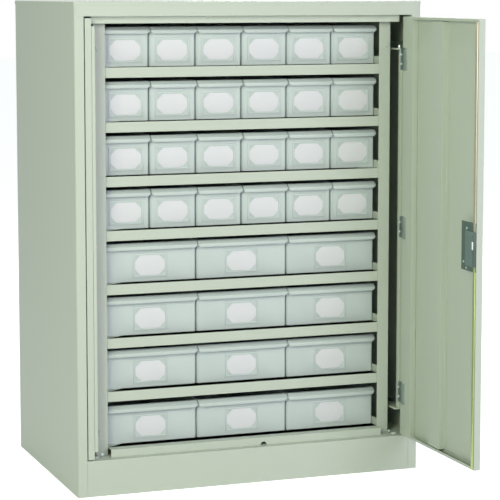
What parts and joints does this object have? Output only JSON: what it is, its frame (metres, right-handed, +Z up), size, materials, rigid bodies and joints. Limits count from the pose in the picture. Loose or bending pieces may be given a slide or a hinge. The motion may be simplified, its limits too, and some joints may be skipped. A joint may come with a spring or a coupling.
{
  "type": "flipper door cabinet",
  "caption": "Steel parts cabinet with hinged doors that slide back into side pockets, over shelves of open plastic drawers.",
  "frame": {"origin": "on the floor under the middle of the casing", "axes": "+Z up, +X to the cabinet's right as seen from the front, +Y from the front to the back"},
  "size_m": [0.9, 1.0027, 1.195],
  "materials": {
    "enamel": "semi-gloss",
    "zinc": "satin",
    "nylon": "matte",
    "drawer_plastic": "satin"
  },
  "bodies": {
    "cabinet": {"side_panel_left": "enamel", "side_panel_right": "enamel", "top_cap": "enamel", "top_rail": "enamel", "back_panel": "enamel", "base_pan": "enamel", "bottom_shelf": "enamel", "shelves": "enamel", "rack_sides": "enamel", "slide_rails": "zinc", "guide_pucks": "nylon"},
    "carriage_right": {"carriage_right": "enamel"},
    "door_right": {"door_leaf_right": "enamel", "door_stiffener_right": "enamel", "hinge_leaves_right": "zinc", "lock_case": "zinc"},
    "turn_handle": {"turn_handle": "zinc"},
    "lock_rod_upper": {"lock_rod_upper": "zinc"},
    "lock_rod_lower": {"lock_rod_lower": "zinc"},
    "carriage_left": {"carriage_left": "enamel"},
    "door_left": {"door_leaf_left": "enamel", "door_stiffener_left": "enamel", "hinge_leaves_left": "zinc", "meeting_strip": "enamel"},
    "small_drawer_1_1": {"small_drawer_1_1": "drawer_plastic"},
    "small_drawer_1_2": {"small_drawer_1_2": "drawer_plastic"},
    "small_drawer_1_3": {"small_drawer_1_3": "drawer_plastic"},
    "small_drawer_1_4": {"small_drawer_1_4": "drawer_plastic"},
    "small_drawer_1_5": {"small_drawer_1_5": "drawer_plastic"},
    "small_drawer_1_6": {"small_drawer_1_6": "drawer_plastic"},
    "small_drawer_2_1": {"small_drawer_2_1": "drawer_plastic"},
    "small_drawer_2_2": {"small_drawer_2_2": "drawer_plastic"},
    "small_drawer_2_3": {"small_drawer_2_3": "drawer_plastic"},
    "small_drawer_2_4": {"small_drawer_2_4": "drawer_plastic"},
    "small_drawer_2_5": {"small_drawer_2_5": "drawer_plastic"},
    "small_drawer_2_6": {"small_drawer_2_6": "drawer_plastic"},
    "small_drawer_3_1": {"small_drawer_3_1": "drawer_plastic"},
    "small_drawer_3_2": {"small_drawer_3_2": "drawer_plastic"},
    "small_drawer_3_3": {"small_drawer_3_3": "drawer_plastic"},
    "small_drawer_3_4": {"small_drawer_3_4": "drawer_plastic"},
    "small_drawer_3_5": {"small_drawer_3_5": "drawer_plastic"},
    "small_drawer_3_6": {"small_drawer_3_6": "drawer_plastic"},
    "small_drawer_4_1": {"small_drawer_4_1": "drawer_plastic"},
    "small_drawer_4_2": {"small_drawer_4_2": "drawer_plastic"},
    "small_drawer_4_3": {"small_drawer_4_3": "drawer_plastic"},
    "small_drawer_4_4": {"small_drawer_4_4": "drawer_plastic"},
    "small_drawer_4_5": {"small_drawer_4_5": "drawer_plastic"},
    "small_drawer_4_6": {"small_drawer_4_6": "drawer_plastic"},
    "large_drawer_5_1": {"large_drawer_5_1": "drawer_plastic"},
    "large_drawer_5_2": {"large_drawer_5_2": "drawer_plastic"},
    "large_drawer_5_3": {"large_drawer_5_3": "drawer_plastic"},
    "large_drawer_6_1": {"large_drawer_6_1": "drawer_plastic"},
    "large_drawer_6_2": {"large_drawer_6_2": "drawer_plastic"},
    "large_drawer_6_3": {"large_drawer_6_3": "drawer_plastic"},
    "large_drawer_7_1": {"large_drawer_7_1": "drawer_plastic"},
    "large_drawer_7_2": {"large_drawer_7_2": "drawer_plastic"},
    "large_drawer_7_3": {"large_drawer_7_3": "drawer_plastic"},
    "large_drawer_8_1": {"large_drawer_8_1": "drawer_plastic"},
    "large_drawer_8_2": {"large_drawer_8_2": "drawer_plastic"},
    "large_drawer_8_3": {"large_drawer_8_3": "drawer_plastic"}
  },
  "joints": [
    {"name": "carriage_right_slide", "type": "slide", "parent": "cabinet", "child": "carriage_right", "axis": [0, 1, 0], "range_m": [0, 0.416]},
    {"name": "door_right_hinge", "type": "hinge", "parent": "carriage_right", "child": "door_right", "pos_m": [0.4186, -0.2901, 0.624], "axis": [0, 0, 1], "range_deg": [-90, 0]},
    {"name": "turn_handle_pivot", "type": "hinge", "parent": "door_right", "child": "turn_handle", "pos_m": [0.4186, -0.6627, 0.622], "axis": [1, 0, 0], "range_deg": [-90, 0]},
    {"name": "lock_rod_upper_slide", "type": "slide", "parent": "door_right", "child": "lock_rod_upper", "axis": [0, 0, 1], "range_m": [0, 0.0161]},
    {"name": "lock_rod_lower_slide", "type": "slide", "parent": "door_right", "child": "lock_rod_lower", "axis": [0, 0, -1], "range_m": [0, 0.0161]},
    {"name": "carriage_left_slide", "type": "slide", "parent": "cabinet", "child": "carriage_left", "axis": [0, 1, 0], "range_m": [-0.416, 0]},
    {"name": "door_left_hinge", "type": "hinge", "parent": "carriage_left", "child": "door_left", "pos_m": [-0.4186, 0.1259, 0.624], "axis": [0, 0, 1], "range_deg": [-0.4, 0]},
    {"name": "small_drawer_1_1_slide", "type": "slide", "parent": "cabinet", "child": "small_drawer_1_1", "axis": [0, -1, 0], "range_m": [0, 0.38]},
    {"name": "small_drawer_1_2_slide", "type": "slide", "parent": "cabinet", "child": "small_drawer_1_2", "axis": [0, -1, 0], "range_m": [0, 0.38]},
    {"name": "small_drawer_1_3_slide", "type": "slide", "parent": "cabinet", "child": "small_drawer_1_3", "axis": [0, -1, 0], "range_m": [0, 0.38]},
    {"name": "small_drawer_1_4_slide", "type": "slide", "parent": "cabinet", "child": "small_drawer_1_4", "axis": [0, -1, 0], "range_m": [0, 0.38]},
    {"name": "small_drawer_1_5_slide", "type": "slide", "parent": "cabinet", "child": "small_drawer_1_5", "axis": [0, -1, 0], "range_m": [0, 0.38]},
    {"name": "small_drawer_1_6_slide", "type": "slide", "parent": "cabinet", "child": "small_drawer_1_6", "axis": [0, -1, 0], "range_m": [0, 0.38]},
    {"name": "small_drawer_2_1_slide", "type": "slide", "parent": "cabinet", "child": "small_drawer_2_1", "axis": [0, -1, 0], "range_m": [0, 0.38]},
    {"name": "small_drawer_2_2_slide", "type": "slide", "parent": "cabinet", "child": "small_drawer_2_2", "axis": [0, -1, 0], "range_m": [0, 0.38]},
    {"name": "small_drawer_2_3_slide", "type": "slide", "parent": "cabinet", "child": "small_drawer_2_3", "axis": [0, -1, 0], "range_m": [0, 0.38]},
    {"name": "small_drawer_2_4_slide", "type": "slide", "parent": "cabinet", "child": "small_drawer_2_4", "axis": [0, -1, 0], "range_m": [0, 0.38]},
    {"name": "small_drawer_2_5_slide", "type": "slide", "parent": "cabinet", "child": "small_drawer_2_5", "axis": [0, -1, 0], "range_m": [0, 0.38]},
    {"name": "small_drawer_2_6_slide", "type": "slide", "parent": "cabinet", "child": "small_drawer_2_6", "axis": [0, -1, 0], "range_m": [0, 0.38]},
    {"name": "small_drawer_3_1_slide", "type": "slide", "parent": "cabinet", "child": "small_drawer_3_1", "axis": [0, -1, 0], "range_m": [0, 0.38]},
    {"name": "small_drawer_3_2_slide", "type": "slide", "parent": "cabinet", "child": "small_drawer_3_2", "axis": [0, -1, 0], "range_m": [0, 0.38]},
    {"name": "small_drawer_3_3_slide", "type": "slide", "parent": "cabinet", "child": "small_drawer_3_3", "axis": [0, -1, 0], "range_m": [0, 0.38]},
    {"name": "small_drawer_3_4_slide", "type": "slide", "parent": "cabinet", "child": "small_drawer_3_4", "axis": [0, -1, 0], "range_m": [0, 0.38]},
    {"name": "small_drawer_3_5_slide", "type": "slide", "parent": "cabinet", "child": "small_drawer_3_5", "axis": [0, -1, 0], "range_m": [0, 0.38]},
    {"name": "small_drawer_3_6_slide", "type": "slide", "parent": "cabinet", "child": "small_drawer_3_6", "axis": [0, -1, 0], "range_m": [0, 0.38]},
    {"name": "small_drawer_4_1_slide", "type": "slide", "parent": "cabinet", "child": "small_drawer_4_1", "axis": [0, -1, 0], "range_m": [0, 0.38]},
    {"name": "small_drawer_4_2_slide", "type": "slide", "parent": "cabinet", "child": "small_drawer_4_2", "axis": [0, -1, 0], "range_m": [0, 0.38]},
    {"name": "small_drawer_4_3_slide", "type": "slide", "parent": "cabinet", "child": "small_drawer_4_3", "axis": [0, -1, 0], "range_m": [0, 0.38]},
    {"name": "small_drawer_4_4_slide", "type": "slide", "parent": "cabinet", "child": "small_drawer_4_4", "axis": [0, -1, 0], "range_m": [0, 0.38]},
    {"name": "small_drawer_4_5_slide", "type": "slide", "parent": "cabinet", "child": "small_drawer_4_5", "axis": [0, -1, 0], "range_m": [0, 0.38]},
    {"name": "small_drawer_4_6_slide", "type": "slide", "parent": "cabinet", "child": "small_drawer_4_6", "axis": [0, -1, 0], "range_m": [0, 0.38]},
    {"name": "large_drawer_5_1_slide", "type": "slide", "parent": "cabinet", "child": "large_drawer_5_1", "axis": [0, -1, 0], "range_m": [0, 0.38]},
    {"name": "large_drawer_5_2_slide", "type": "slide", "parent": "cabinet", "child": "large_drawer_5_2", "axis": [0, -1, 0], "range_m": [0, 0.38]},
    {"name": "large_drawer_5_3_slide", "type": "slide", "parent": "cabinet", "child": "large_drawer_5_3", "axis": [0, -1, 0], "range_m": [0, 0.38]},
    {"name": "large_drawer_6_1_slide", "type": "slide", "parent": "cabinet", "child": "large_drawer_6_1", "axis": [0, -1, 0], "range_m": [0, 0.38]},
    {"name": "large_drawer_6_2_slide", "type": "slide", "parent": "cabinet", "child": "large_drawer_6_2", "axis": [0, -1, 0], "range_m": [0, 0.38]},
    {"name": "large_drawer_6_3_slide", "type": "slide", "parent": "cabinet", "child": "large_drawer_6_3", "axis": [0, -1, 0], "range_m": [0, 0.38]},
    {"name": "large_drawer_7_1_slide", "type": "slide", "parent": "cabinet", "child": "large_drawer_7_1", "axis": [0, -1, 0], "range_m": [0, 0.38]},
    {"name": "large_drawer_7_2_slide", "type": "slide", "parent": "cabinet", "child": "large_drawer_7_2", "axis": [0, -1, 0], "range_m": [0, 0.38]},
    {"name": "large_drawer_7_3_slide", "type": "slide", "parent": "cabinet", "child": "large_drawer_7_3", "axis": [0, -1, 0], "range_m": [0, 0.38]},
    {"name": "large_drawer_8_1_slide", "type": "slide", "parent": "cabinet", "child": "large_drawer_8_1", "axis": [0, -1, 0], "range_m": [0, 0.38]},
    {"name": "large_drawer_8_2_slide", "type": "slide", "parent": "cabinet", "child": "large_drawer_8_2", "axis": [0, -1, 0], "range_m": [0, 0.38]},
    {"name": "large_drawer_8_3_slide", "type": "slide", "parent": "cabinet", "child": "large_drawer_8_3", "axis": [0, -1, 0], "range_m": [0, 0.38]}
  ],
  "couplings": [
    {"joint": "lock_rod_upper_slide", "follows": "turn_handle_pivot", "m_per_rad": -0.010186},
    {"joint": "lock_rod_lower_slide", "follows": "turn_handle_pivot", "m_per_rad": -0.010186}
  ]
}
